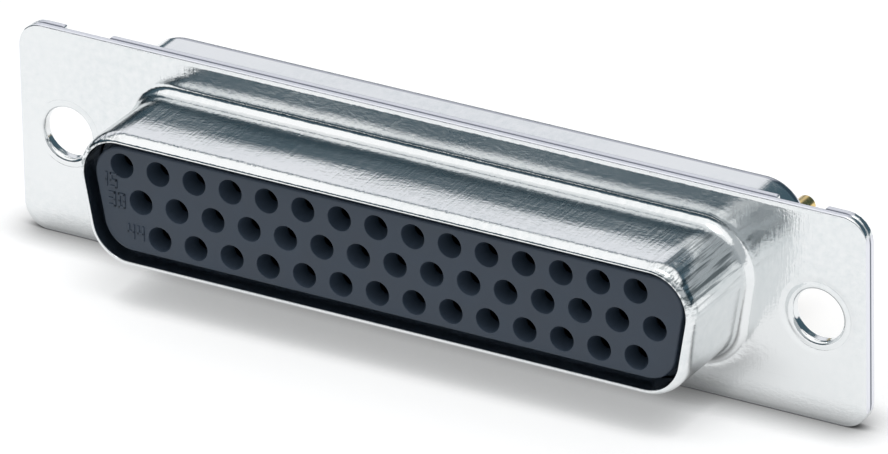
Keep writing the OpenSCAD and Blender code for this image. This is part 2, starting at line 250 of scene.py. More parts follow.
def outline(corners, by=0.0, steps=12):
    """A polygon with round corners, moved outwards by a distance.

    Corners are (x, h, radius) anticlockwise. Each corner becomes an arc, with a
    point just before and just after it that keeps the straight sides straight.
    """
    count = len(corners)
    points = [Vector(c[:2]) for c in corners]
    ways = [(points[(i + 1) % count] - points[i]).normalized() for i in range(count)]
    outwards = [Vector((w.y, -w.x)) * by for w in ways]
    loop = []
    for i in range(count):
        before, after = ways[i - 1], ways[i]
        corner = line_crossing(points[i] + outwards[i - 1], before, points[i] + outwards[i], after)
        turn = math.atan2(before.x * after.y - before.y * after.x, before.dot(after))
        side = math.copysign(1, turn)
        radius = max(corners[i][2] + by * side, 0.001 * MM)
        reach = radius * math.tan(abs(turn) / 2)
        start = corner - before * reach
        centre = start + Vector((-before.y, before.x)) * radius * side
        loop.append(start - before * SUPPORT)
        for s in range(steps + 1):
            spin = Matrix.Rotation(turn * s / steps, 2)
            loop.append(centre + spin @ (start - centre))
        loop.append(corner + after * (reach + SUPPORT))
    return loop


def circle(centre, radius, steps=40):
    """A circle's points, anticlockwise."""
    x, h = centre
    turns = [2 * math.pi * (s + 0.5) / steps for s in range(steps)]
    return [Vector((x + radius * math.cos(t), h + radius * math.sin(t))) for t in turns]


def arc(centre, radius, start, end, steps=8, deep=None):
    """Points (distance, depth) of an arc in a section, between two directions in
    degrees. A second radius, along the depth, makes it an ellipse."""
    deep = radius if deep is None else deep
    turns = [math.radians(start + (end - start) * s / steps) for s in range(steps + 1)]
    return [(centre[0] + radius * math.cos(t), centre[1] + deep * math.sin(t)) for t in turns]


def rectangle(width, height, radius):
    """Corners of a rectangle about the origin."""
    x, h = width / 2, height / 2
    return [(x, -h, radius), (x, h, radius), (-x, h, radius), (-x, -h, radius)]


def d_shape(width, height, radius, lean):
    """Corners of a D about the origin, wide side up, with its true corner centres.

    The width is that of the arcs, so the straight sides meet a little outside it.
    """
    high = height / 2 - radius
    wide = width / 2 - radius
    narrow = wide - 2 * high * math.tan(lean)
    # The leaning side lies a radius away from both centres.
    top = wide + radius / math.cos(lean) + radius * math.tan(lean)
    bottom = narrow + radius / math.cos(lean) - radius * math.tan(lean)
    h = height / 2
    return [(bottom, -h, radius), (top, h, radius), (-top, h, radius), (-bottom, -h, radius)]


class Surface:
    """A closed surface, put together from rings and flat faces between them."""

    def __init__(self):
        self.points = []
        self.faces = []

    def ring(self, loop, depth):
        """Adds a loop at a depth and gives its points' numbers."""
        start = len(self.points)
        self.points += [(p[0], -depth, p[1]) for p in loop]
        return list(range(start, len(self.points)))

    def bridge(self, a, b):
        """Joins two rings that have as many points."""
        count = len(a)
        for i in range(count):
            j = (i + 1) % count
            self.faces.append((a[i], a[j], b[j], b[i]))

    def sweep(self, shape, section):
        """Carries a section of (distance, depth) round a shape; gives its end rings."""
        rings = [self.ring(shape(by), depth) for by, depth in section]
        for a, b in zip(rings, rings[1:]):
            self.bridge(a, b)
        return rings[0], rings[-1]

    def flat(self, *rings):
        """Fills the flat face inside the first ring and outside the others."""
        numbers = [i for ring in rings for i in ring]
        loops = [[Vector(self.points[i]) / MM for i in ring] for ring in rings]
        self.faces += [tuple(numbers[k] for k in t) for t in tessellate_polygon(loops)]

    def close(self, ends):
        """Fills the two flat faces between the end rings of some sweeps."""
        for rings in zip(*ends):
            self.flat(*rings)

    def piece(self, name, material):
        """The finished object: closed, facing outwards, smooth between sharp edges."""
        mesh = bpy.data.meshes.new(name)
        mesh.from_pydata(self.points, [], self.faces)
        return finished(name, mesh, material)


def face_outwards(mesh):
    """Turns every face of a closed mesh outwards."""
    bm = bmesh.new()
    bm.from_mesh(mesh)
    bmesh.ops.recalc_face_normals(bm, faces=bm.faces)
    bm.to_mesh(mesh)
    bm.free()

def finished(name, mesh, material):
    """Links a mesh as an object, closed, faced outwards and smooth between sharp edges, with its
    material.
    """
    bm = bmesh.new()
    bm.from_mesh(mesh)
    bmesh.ops.recalc_face_normals(bm, faces=bm.faces)
    open_edges = [e for e in bm.edges if len(e.link_faces) != 2]
    if open_edges:
        raise RuntimeError(f"{name} isn't closed: {len(open_edges)} open edges")
    for edge in bm.edges:
        edge.smooth = edge.calc_face_angle() < SHARP_ANGLE
    for face in bm.faces:
        face.smooth = True
    bm.to_mesh(mesh)
    bm.free()
    mesh.materials.clear()
    mesh.materials.append(material)
    piece = bpy.data.objects.new(name, mesh)
    bpy.context.scene.collection.objects.link(piece)
    return piece


def dress(piece, slot, *nodes):
    """Puts a piece in the place of its solids."""
    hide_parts(*nodes)
    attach(piece, BODY)


# ---------------------------------------------------------------- Frame


class Sizes:
    """Lengths that several pieces share, read from the frame and the settings."""

    def __init__(self, scene):
        shell, mould = scene.connector_shells, scene.connector_insulator
        low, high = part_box("front_shell")
        self.width = high.x - low.x
        self.height = high.z - low.z
        self.sheet = high.y
        self.reach = -low.y
        self.rear_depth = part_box("rear_shell")[1].y
        self.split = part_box("front_insulator")[1].y
        self.tail_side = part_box("rear_insulator")[1].y
        self.face = self.reach - mould.face_recess
        self.hole_x = self.width / 2 - shell.hole_edge
        wide = self.width - 2 * shell.skirt_margin
        self.skirt = d_shape(wide, shell.skirt_height, shell.skirt_corner, shell.side_angle)
        wide = self.width - 2 * shell.rear_margin
        self.rear = d_shape(wide, shell.rear_height, shell.rear_corner, shell.side_angle)

    def hole_ring(self, side, radius):
        return circle((side * self.hole_x, 0), radius, 64)


def contact_axes():
    """Each contact node's centre line as (x, h), by name."""
    axes = {}
    for name in CONTACT_NODES:
        low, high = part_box(name)
        axes[name] = ((low.x + high.x) / 2, (low.z + high.z) / 2)
    return axes


def edge_section(sheet, front, shell, roll=True):
    """Section of a sheared edge, from the front face round to the back face.

    Distances count outwards from the sheet's outline, and front is the depth of
    the front face.
    """
    r = shell.edge_round
    back = front - sheet
    drop = shell.roll_drop if roll else 0.0
    section = []
    if roll:
        width = shell.roll_width
        section += [(-width - SUPPORT, front), (-width, front)]
        for share in (0.12, 0.25, 0.4, 0.6, 0.8):
            section.append((-width + (width - r) * share, front - drop * share**1.5))
    else:
        section.append((-r - SUPPORT, front))
    section += arc((-r, front - drop - r), r, 90, 0, 5)
    section += arc((-r, back + r), r, 0, -90, 5)
    section.append((-r - SUPPORT, back))
    return section


def smooth(t):
    """Eases from 0 to 1."""
    return t * t * (3 - 2 * t)


# ---------------------------------------------------------------- Materials

# A depth that no surface reaches.
FAR = 1.0
# Softness of the sheared edges' border; half width of the painted seam shade's dark middle and of
# all of it.
OUTLINE_SOFTNESS = 0.04 * MM
SEAM_SHADE_HALF_WIDTH = (0.04 * MM, 0.11 * MM)
# Depths between which the skirt's draw lines give way to the flange's brushed lines.
LINES_CHANGE = (-0.5 * MM, -0.1 * MM)
# Where the draw marks at the skirt's upper corners, darkened with painted reflection, fade in:
# sideways, upwards and forwards.
MARKS_AND_REFLECTION_FADE = ((16.0 * MM, 18.2 * MM), (0.9 * MM, 2.4 * MM), (-0.3 * MM, -0.9 * MM))
MARKS_AND_REFLECTION_STRENGTH = 0.8
# How far before the rim's depth its painted shade, a darker tone, starts and is full.
RIM_SHADE_FADE = (0.14 * MM, 0.02 * MM)
RIM_SHADE_STRENGTH = 0.8
SHEARED_ROUGHNESS = 0.34
SCRATCH_STRENGTH, SCRATCH_ROUGHNESS = 0.4, 0.4
# Depths between which the gold fades in behind the painted shade of the cavities.
CAVITY_SHADE_FADE = (5.0 * MM, 6.0 * MM)
# Share of the gold's colour kept inside the cavities, as painted shade.
CAVITY_SHADE = 0.012


def node(tree, kind, inputs=None, **settings):
    """Adds a node; inputs may be values or the sockets that feed them."""
    made = tree.nodes.new(kind)
    for key, value in settings.items():
        setattr(made, key, value)
    for key, value in (inputs or {}).items():
        if isinstance(value, bpy.types.NodeSocket):
            tree.links.new(value, made.inputs[key])
        else:
            made.inputs[key].default_value = value
    return made


def group(name, inputs, outputs, build):
    """A shader node group, built once: build(tree, source, drain) fills it."""
    if name in bpy.data.node_groups:
        return bpy.data.node_groups[name]
    tree = bpy.data.node_groups.new(name, "ShaderNodeTree")
    for label, kind, default in inputs:
        socket = tree.interface.new_socket(label, in_out="INPUT", socket_type=kind)
        socket.default_value = default
    for label, kind in outputs:
        tree.interface.new_socket(label, in_out="OUTPUT", socket_type=kind)
    build(tree, tree.nodes.new("NodeGroupInput").outputs, tree.nodes.new("NodeGroupOutput").inputs)
    return tree


def use_group(tree, made, **inputs):
    """Places a node group in a material."""
    placed = tree.nodes.new("ShaderNodeGroup")
    placed.node_tree = made
    for key, value in inputs.items():
        placed.inputs[key.capitalize()].default_value = value
    return placed.outputs


def grain_group():
    """Blotches or lines of plating grain, stretched by a scale along each axis."""

    def build(tree, source, drain):
        place = node(tree, "ShaderNodeTexCoord").outputs["Object"]
        scaled = node(
            tree, "ShaderNodeVectorMath", {0: place, 1: source["Scale"]}, operation="MULTIPLY"
        ).outputs[0]
        noise = node(
            tree,
            "ShaderNodeTexNoise",
            {"Vector": scaled, "Scale": 1.0, "Detail": source["Detail"], "Roughness": 0.6},
        ).outputs["Fac"]
        spread = node(
            tree, "ShaderNodeMapRange", {"Value": noise, "From Min": 0.3, "From Max": 0.7}
        ).outputs["Result"]
        tree.links.new(spread, drain["Grain"])

    sockets = [
        ("Scale", "NodeSocketVector", (1000, 1000, 1000)),
        ("Detail", "NodeSocketFloat", 3.0),
    ]
    return group("Plating grain", sockets, [("Grain", "NodeSocketFloat")], build)


def noise_at(tree, scale, detail):
    """The plating grain at a scale, placed in a material."""
    return use_group(tree, grain_group(), scale=scale, detail=detail)["Grain"]

def scratch_group():
    """Sparse fine scratches: the crests of a long stretched noise."""

    def build(tree, source, drain):
        place = node(tree, "ShaderNodeTexCoord").outputs["Object"]
        turned = node(
            tree,
            "ShaderNodeMapping",
            {"Vector": place, "Rotation": source["Turn"], "Scale": source["Scale"]},
        ).outputs[0]
        noise = node(
            tree, "ShaderNodeTexNoise", {"Vector": turned, "Scale": 1.0, "Detail": 2.0}
        ).outputs["Fac"]
        crest = node(
            tree,
            "ShaderNodeMapRange",
            {"Value": noise, "From Min": source["Threshold"], "From Max": 0.78},
        ).outputs["Result"]
        tree.links.new(crest, drain["Scratches"])

    sockets = [
        ("Scale", "NodeSocketVector", (100, 3000, 3000)),
        ("Turn", "NodeSocketVector", (0, 0, 0)),
        ("Threshold", "NodeSocketFloat", 0.66),
    ]
    return group("Fine scratches", sockets, [("Scratches", "NodeSocketFloat")], build)


def mixed(tree, kind, amount, a, b):
    """A mix of two values or colours by an amount."""
    made = node(tree, "ShaderNodeMix", data_type=kind)
    sockets = {"FLOAT": (0, 2, 3, 0), "RGBA": (0, 6, 7, 2)}[kind]
    for place, value in zip(sockets[:3], (amount, a, b)):
        if isinstance(value, bpy.types.NodeSocket):
            tree.links.new(value, made.inputs[place])
        else:
            made.inputs[place].default_value = value
    return made.outputs[sockets[3]]


def between(tree, value, low, high):
    """0 below a value and 1 above another, smooth between them."""
    made = node(
        tree,
        "ShaderNodeMapRange",
        {"Value": value, "From Min": low, "From Max": high},
        interpolation_type="SMOOTHSTEP",
    )
    return made.outputs["Result"]


def tinted(tree, amount, a, b):
    """A mix of two colours, each a socket or three numbers."""
    a, b = (c if isinstance(c, bpy.types.NodeSocket) else rgba(c) for c in (a, b))
    return mixed(tree, "RGBA", amount, a, b)

def combined(tree, operation, a, b):
    """Arithmetic on two values."""
    return node(tree, "ShaderNodeMath", {0: a, 1: b}, operation=operation).outputs[0]

def absolute(tree, value):
    """A value without its sign."""
    return node(tree, "ShaderNodeMath", {0: value}, operation="ABSOLUTE").outputs[0]

def own_axes(tree):
    """The object's own X, Y and Z."""
    place = node(tree, "ShaderNodeTexCoord").outputs["Object"]
    return node(tree, "ShaderNodeSeparateXYZ", {"Vector": place}).outputs

def bump(tree, height, reach, below=None):
    """A bump of a height in metres, on top of another where one is given."""
    made = node(tree, "ShaderNodeBump", {"Height": height, "Strength": 1.0, "Distance": reach})
    if below:
        tree.links.new(below, made.inputs["Normal"])
    return made.outputs[0]


def new_material(name):
    """An empty material with its shader linked to the output."""
    material = bpy.data.materials.new(name)
    material.use_nodes = True
    tree = material.node_tree
    tree.nodes.clear()
    shader = tree.nodes.new("ShaderNodeBsdfPrincipled")
    output = tree.nodes.new("ShaderNodeOutputMaterial")
    tree.links.new(shader.outputs[0], output.inputs["Surface"])
    return material, tree, shader


def rgba(value):
    return (*value, 1.0)


def bounds_group():
    """Where a surface lies outside a rectangle of X and Z about the origin."""

    def build(tree, source, drain):
        axes, masks = own_axes(tree), []
        for axis in "XZ":
            past = combined(tree, "SUBTRACT", absolute(tree, axes[axis]), source[axis])
            masks.append(between(tree, past, 0.0, OUTLINE_SOFTNESS))
        tree.links.new(combined(tree, "MAXIMUM", *masks), drain["Outside"])

    sockets = [(axis, "NodeSocketFloat", 1.0) for axis in "XZ"]
    return group("Outside an outline", sockets, [("Outside", "NodeSocketFloat")], build)


def seam_shade_group():
    """Thin lines of painted shade at the two faces of a sheet, given as depths along Y."""

    def build(tree, source, drain):
        depth, lines = own_axes(tree)["Y"], []
        for face in ("Front", "Back"):
            off = absolute(tree, combined(tree, "SUBTRACT", depth, source[face]))
            away = between(tree, off, *SEAM_SHADE_HALF_WIDTH)
            lines.append(combined(tree, "SUBTRACT", 1.0, away))
        tree.links.new(combined(tree, "MAXIMUM", *lines), drain["Seam"])

    sockets = [("Front", "NodeSocketFloat", -1.0), ("Back", "NodeSocketFloat", 1.0)]
    return group("Painted seam shade", sockets, [("Seam", "NodeSocketFloat")], build)


def plating(name, scene, seam_shade_depths, rim, heights):
    """Bright plated sheet: grain, draw lines, fine scratches and sheared edges, with
    painted shade and painted dark reflections.

    The seam shade depths are those of the sheet's faces along its sheared edges,
    where a thin line of painted shade runs; past the rim's depth the sheet is painted
    darker as shade; the draw marks at the skirt's upper corners are painted dark as
    their reflection; and the heights are those of the waves, the grain and the draw lines.
    """
    finish, sizes = scene.connector_finish, Sizes(scene)
    trim = scene.connector_shells.edge_round
    material, tree, shader = new_material(name)
    axes = own_axes(tree)
    blotch = noise_at(tree, (2300, 1500, 2300), 4.0)
    broad = noise_at(tree, (130, 420, 130), 0.0)
    grain = noise_at(tree, (2600, 4500, 4500), 3.0)
    drawn = noise_at(tree, (5000, 250, 5000), 2.0)
    brushed = combined(tree, "MULTIPLY", noise_at(tree, (7000, 300, 800), 2.0), 0.5)
    lines = mixed(tree, "FLOAT", between(tree, axes["Y"], *LINES_CHANGE), drawn, brushed)
    scratches = use_group(
        tree, scratch_group(), scale=(160, 5200, 5200), turn=(0.3, 0.5, 0.35), threshold=0.67
    )["Scratches"]
    sheared = use_group(
        tree, bounds_group(), x=sizes.width / 2 - trim, z=sizes.height / 2 - trim
    )["Outside"]
    # Painted shade along the sheared edges, where the sheets meet and behind the rear sheet.
    seam = use_group(tree, seam_shade_group(), front=seam_shade_depths[0], back=seam_shade_depths[1])["Seam"]
    tone = combined(tree, "MULTIPLY", blotch, broad)
    sheet = tinted(tree, tone, finish.plate, finish.plate_dull)
    edge = tinted(tree, seam, finish.edge, finish.seam)
    # Draw marks at the skirt's upper corners, painted dark as their dark reflection.
    marks_and_dark_reflection = between(tree, noise_at(tree, (4600, 190, 4600), 3.0), 0.35, 0.75)
    for way, fade in zip((absolute(tree, axes["X"]), axes["Z"], axes["Y"]), MARKS_AND_REFLECTION_FADE):
        marks_and_dark_reflection = combined(tree, "MULTIPLY", marks_and_dark_reflection, between(tree, way, *fade))
    marks_and_dark_reflection = combined(tree, "MULTIPLY", marks_and_dark_reflection, MARKS_AND_REFLECTION_STRENGTH)
    sheet = tinted(tree, marks_and_dark_reflection, sheet, finish.marks_and_dark_reflection)
    # Painted shade: the sheet is darker past the rim's depth.
    rim_shade = between(tree, axes["Y"], rim - RIM_SHADE_FADE[0], rim - RIM_SHADE_FADE[1])
    rim_shade = combined(tree, "MULTIPLY", rim_shade, RIM_SHADE_STRENGTH)
    sheet = tinted(tree, rim_shade, sheet, finish.rim)
    tree.links.new(tinted(tree, sheared, sheet, edge), shader.inputs["Base Color"])
    rough = finish.plate_roughness
    dull = mixed(tree, "FLOAT", tone, rough * 0.85, rough * 1.3)
    worn = combined(tree, "MULTIPLY", scratches, SCRATCH_STRENGTH)
    dull = mixed(tree, "FLOAT", worn, dull, SCRATCH_ROUGHNESS)
    dull = mixed(tree, "FLOAT", sheared, dull, SHEARED_ROUGHNESS)
    tree.links.new(dull, shader.inputs["Roughness"])
    shader.inputs["Metallic"].default_value = 1.0
    normal = None
    for height, reach in zip((broad, grain, lines), heights):
        normal = bump(tree, height, reach, normal)
    tree.links.new(normal, shader.inputs["Normal"])
    return material

def moulding(finish):
    """Dark moulded plastic with a faint haze and a fine skin."""
    material, tree, shader = new_material("moulded_insulator")
    haze = noise_at(tree, (450, 450, 450), 3.0)
    skin = noise_at(tree, (9000, 9000, 9000), 2.0)
    colour_of = tinted(tree, haze, finish.mould, finish.mould_dull)
    tree.links.new(colour_of, shader.inputs["Base Color"])
    tree.links.new(mixed(tree, "FLOAT", haze, 0.42, 0.52), shader.inputs["Roughness"])
    tree.links.new(bump(tree, skin, 0.0006 * MM), shader.inputs["Normal"])
    return material

def gold_plating(finish):
    """Gold over a turned surface, with faint tool rings and tarnish, and painted shade
    inside the cavities. It isn't named after its slot, whose name the frame already uses."""
    material, tree, shader = new_material("turned_gold")
    rings = noise_at(tree, (900, 14000, 900), 2.0)
    stain = noise_at(tree, (1800, 1800, 1800), 3.0)
    # Painted shade: the gold is dark in front of the fade, inside the cavities.
    tail = between(tree, own_axes(tree)["Y"], *CAVITY_SHADE_FADE)
    bright = tinted(tree, stain, finish.gold, [c * 0.72 for c in finish.gold])
    gold = tinted(tree, tail, [c * CAVITY_SHADE for c in finish.gold], bright)
    tree.links.new(gold, shader.inputs["Base Color"])
    tree.links.new(mixed(tree, "FLOAT", rings, 0.16, 0.30), shader.inputs["Roughness"])
    shader.inputs["Metallic"].default_value = 1.0
    tree.links.new(bump(tree, rings, 0.0012 * MM), shader.inputs["Normal"])
    return material

def material_named(name, build):
    """A material that several pieces share, made the first time it is needed."""
    return bpy.data.materials.get(name) or build()


# ---------------------------------------------------------------- Pieces


class CONNECTOR_OT_front_shell(Operator):
    """Builds the front shell: the flange's front sheet and the drawn skirt"""

    bl_idname = "connector.front_shell"
    bl_label = "Front shell"

    def execute(self, context):
        scene = context.scene
        shell, sizes = scene.connector_shells, Sizes(scene)
        sheet, reach = sizes.sheet, sizes.reach
        surface = Surface()
        flange = rectangle(sizes.width, sizes.height, shell.flange_corner)
        section = edge_section(sheet, 0.0, shell)
        ends = [surface.sweep(lambda by: outline(flange, by), section)]
        bend, length = shell.skirt_bend, shell.bend_length
        mouth, lip = shell.mouth_round, shell.edge_round / 2
        width, drop = shell.sink_width, shell.sink_drop
        # The sheet sinks towards the bend, which starts at the same slope.
        start = 270 + math.degrees(math.atan(2 * drop / width * bend / length))
        base = arc((bend, length - drop), bend, start, 180, 20, deep=length)
        painted_contact_shadow, low = base[0]
        section = [(painted_contact_shadow + width + SUPPORT, 0.0)]
        section += [(painted_contact_shadow + width * (1 - s / 10), low * (s / 10) ** 2) for s in range(10)]
        section += base
        section += [(0.0, length + SUPPORT), (0.0, reach - mouth - SUPPORT)]
        nose = sheet - lip
        section += arc((-nose, reach - mouth), nose, 0, 90, 16, deep=mouth)
        section += arc((-nose, reach - lip), lip, 90, 180, 4)[1:]
        section += [(-sheet, reach - lip - SUPPORT), (-sheet, length + SUPPORT)]
        section += arc((bend, length), bend + sheet, 180, 270, 12, deep=length + sheet)
        section += [(bend + SUPPORT, -sheet)]
        ends.append(surface.sweep(lambda by: outline(sizes.skirt, by, 18), section))
        bore = shell.hole_bore / 2 + shell.collar_wall + shell.collar_gap
        seat = bore + shell.collar_flare
        wide = seat + shell.dimple_width
        drop = shell.dimple_drop
        section = [(wide + SUPPORT, 0.0)]
        for s in range(9):
            section.append((wide + (seat - wide) * s / 8, -drop * smooth(s / 8)))
        section += [(bore, -shell.flare_depth), (bore, -sheet)]
        for side in (-1, 1):
            ends.append(surface.sweep(lambda r: sizes.hole_ring(side, r), section))
        surface.close(ends)
        metal = material_named("front_plating", lambda: front_plating(scene))
        dress(surface.piece("front_shell_drawn", metal), "front_shell_plate", "front_shell")
        return {"FINISHED"}


def front_plating(scene):
    """The drawn front shell's finish."""
    heights = (0.03 * MM, 0.004 * MM, 0.005 * MM)
    return plating("front_plating", scene, (-FAR, Sizes(scene).sheet), FAR, heights)

def rear_plating(scene):
    """The rear shell's finish."""
    sizes = Sizes(scene)
    heights = (0.02 * MM, 0.003 * MM, 0.003 * MM)
    bend = sizes.rear_depth - scene.connector_shells.rim_bend
    return plating("rear_plating", scene, (sizes.sheet, 2 * sizes.sheet), bend, heights)

def notched_flange(sizes, shell):
    """Corners of the rear shell's flange, with two notches in each long edge."""
    x, h = sizes.width / 2, sizes.height / 2
    middle = sizes.hole_x - shell.notch_inset
    left, right = middle - shell.notch_width / 2, middle + shell.notch_width / 2
    floor = h - shell.notch_depth
    r, c = shell.notch_round, shell.flange_corner
    quarter = [(x, h, c), (right, h, r), (right, floor, r), (left, floor, r), (left, h, r)]
    upper = quarter + [(-px, ph, pr) for px, ph, pr in reversed(quarter)]
    return upper + [(-px, -ph, pr) for px, ph, pr in upper]


class CONNECTOR_OT_rear_shell(Operator):
    """Builds the rear shell: its sheet, the rear body and the two swaged collars"""

    bl_idname = "connector.rear_shell"
    bl_label = "Rear shell"

    def execute(self, context):
        scene = context.scene
        shell, sizes = scene.connector_shells, Sizes(scene)
        sheet, front = sizes.sheet, -sizes.sheet
        back, rim = front - sheet, -sizes.rear_depth
        surface = Surface()
        flange = notched_flange(sizes, shell)
        section = edge_section(sheet, front, shell, roll=False)
        ends = [surface.sweep(lambda by: outline(flange, by, 6), section)]
        bend, turn, lip = shell.rear_bend, shell.rim_bend, shell.edge_round
        section = [(bend + SUPPORT, front)]
        section += arc((bend, back - bend), bend + sheet, 90, 180, 12)
        section += [(-sheet, back - bend - SUPPORT), (-sheet, rim + turn + SUPPORT)]
        section += arc((-turn, rim + turn), turn - sheet, 0, -90, 10)
        inner = -shell.rim_reach
        section += arc((inner + lip, rim + sheet - lip), lip, 90, 180, 4)
        section += arc((inner + lip, rim + lip), lip, 180, 270, 4)
        section += arc((-turn, rim + turn), turn, -90, 0, 14)
        section += [(0.0, rim + turn + SUPPORT), (0.0, back - bend - SUPPORT)]
        section += arc((bend, back - bend), bend, 180, 90, 10)
        section += [(bend + SUPPORT, back)]
        ends.append(surface.sweep(lambda by: outline(sizes.rear, by, 18), section))
        bore, mouth, drawn = shell.hole_bore / 2, shell.collar_round, shell.drawn_round
        wall = bore + shell.collar_wall
        flare = wall + shell.collar_flare
        seat, top = flare + shell.collar_gap * 0.8, bore + mouth
        section = [(wall, front), (wall, -shell.flare_depth), (seat, -shell.flare_depth / 2)]
        for s in range(7):
            rise = 1 - smooth(s / 7)
            section.append((seat + (top - seat) * s / 7, -shell.dimple_drop * rise))
        section += arc((top, -mouth), mouth, 90, 180, 8)
        section += [(bore, -mouth - SUPPORT), (bore, back + drawn + SUPPORT)]
        section += arc((bore + drawn, back + drawn), drawn, 180, 270, 8)
        section += [(bore + drawn + SUPPORT, back)]
        for side in (-1, 1):
            ends.append(surface.sweep(lambda r: sizes.hole_ring(side, r), section))
        surface.close(ends)
        metal = material_named("rear_plating", lambda: rear_plating(scene))
        dress(surface.piece("rear_shell_drawn", metal), "rear_shell_plate", "rear_shell")
        return {"FINISHED"}


# Bars of a seven-bar digit that are drawn: top, upper right, lower right, bottom,
# lower left, upper left, middle.
DIGIT_BARS = ("1111110", "0110000", "1101101", "1111001", "0110011",
              "1011011", "1011111", "1110000", "1111111", "1111011")
# Middle of each row's number, from the middle of the row's end hole, in millimetres.
NUMBER_PLACES = ((-0.87, -1.0), (-1.52, -0.15), (-1.52, 0.1))


def add_bar(surface, middle, width, height, face, mould):
    """One raised bar of a digit, with a rounded top, sunk a little into the face."""
    relief = mould.digit_relief
    edge = relief / 2
    x, h = middle
    corners = [
        (x + cx, h + ch, r) for cx, ch, r in rectangle(width, height, mould.digit_stroke / 5)
    ]
    section = [(0.0, face - relief), (0.0, face + relief - edge)]
    section += arc((-edge, face + relief - edge), edge, 0, 90, 4)[1:]
    surface.close([surface.sweep(lambda by: outline(corners, by, 3), section)])


def add_number(surface, number, middle, face, mould):
    """A two-digit number standing on the face."""
    stroke = mould.digit_stroke
    w = mould.digit_width - stroke
    h = (mould.digit_height - stroke) / 2
    bars = ((0, h, 1), (w / 2, h / 2, 0), (w / 2, -h / 2, 0), (0, -h, 1),
            (-w / 2, -h / 2, 0), (-w / 2, h / 2, 0), (0, 0, 1))
    for place, digit in zip((-0.5, 0.5), divmod(number, 10)):
        shift = place * (mould.digit_width + mould.digit_gap)
        for drawn, (bx, bh, lying) in zip(DIGIT_BARS[digit], bars):
            if drawn == "1":
                size = (w + stroke, stroke) if lying else (stroke, h + stroke)
                add_bar(surface, (middle[0] + shift + bx, middle[1] + bh), *size, face, mould)


def rows_of(axes):
    """The contacts' centres by row, the top row first, each from its right end."""
    rows = {}
    for x, h in axes.values():
        rows.setdefault(round(h / MM, 2), []).append((x, h))
    return [sorted(rows[key], reverse=True) for key in sorted(rows, reverse=True)]


class CONNECTOR_OT_front_insulator(Operator):
    """Builds the front insulator: its face, contact holes, groove and numbers"""

    bl_idname = "connector.front_insulator"
    bl_label = "Front insulator"

    def execute(self, context):
        scene = context.scene
        mould, pin, sizes = scene.connector_insulator, scene.connector_contacts, Sizes(scene)
        sheet, split, face = sizes.sheet, -sizes.split, sizes.face
        surface = Surface()
        body = -(sheet + mould.fit_gap)
        inset = -(sheet + mould.face_gap)
        groove = sizes.reach - mould.groove_depth
        round_r, edge = mould.face_bevel, mould.entry_edge
        # The shoulder behind the flange, then the body that fills the skirt.
        section = [(body - edge - SUPPORT, split), (body - edge, split)]
        section += [(body, split + edge), (body, -sheet - edge), (body - edge, -sheet)]
        shoulder = surface.sweep(lambda by: outline(sizes.rear, by, 18), section)
        section = [(body, -sheet), (body, groove - edge), (body - edge, groove)]
        section += [(inset + SUPPORT, groove), (inset, groove + SUPPORT)]
        section += [(inset, face - round_r - SUPPORT)]
        section += arc((inset - round_r, face - round_r), round_r, 0, 90, 6)
        section += [(inset - round_r - SUPPORT, face)]
        front = surface.sweep(lambda by: outline(sizes.skirt, by, 18), section)
        surface.bridge(shoulder[1], front[0])
        funnel = face - mould.entry_straight - mould.entry_funnel
        step = funnel - mould.throat_depth
        entry, throat = mould.entry_bore / 2, mould.throat_bore / 2
        barrel = pin.barrel / 2 + mould.cavity_gap
        pocket = pin.retainer / 2 + mould.cavity_gap
        pocket_floor = split + pin.retainer_length / 2 + mould.cavity_gap
        section = [(entry + edge + SUPPORT, face)]
        section += arc((entry + edge, face - edge), edge, 90, 180, 3)
        section += [(entry, face - mould.entry_straight), (throat, funnel), (throat, step)]
        section += [(barrel, step), (barrel, pocket_floor), (pocket, pocket_floor), (pocket, split)]
        ends = [(front[1], shoulder[0])]
        axes = contact_axes()
        for axis in axes.values():
            ends.append(surface.sweep(lambda r: circle(axis, r, 36), section))
        surface.close(ends)
        number = 0
        for row, place in zip(rows_of(axes), NUMBER_PLACES):
            number += len(row)
            x, h = row[-1]
            add_number(surface, number, (x + place[0] * MM, h + place[1] * MM), face, mould)
        plastic = material_named("moulded_insulator", lambda: moulding(scene.connector_finish))
        piece = surface.piece("front_insulator_moulded", plastic)
        dress(piece, "insulator_moulding", "front_insulator")
        return {"FINISHED"}


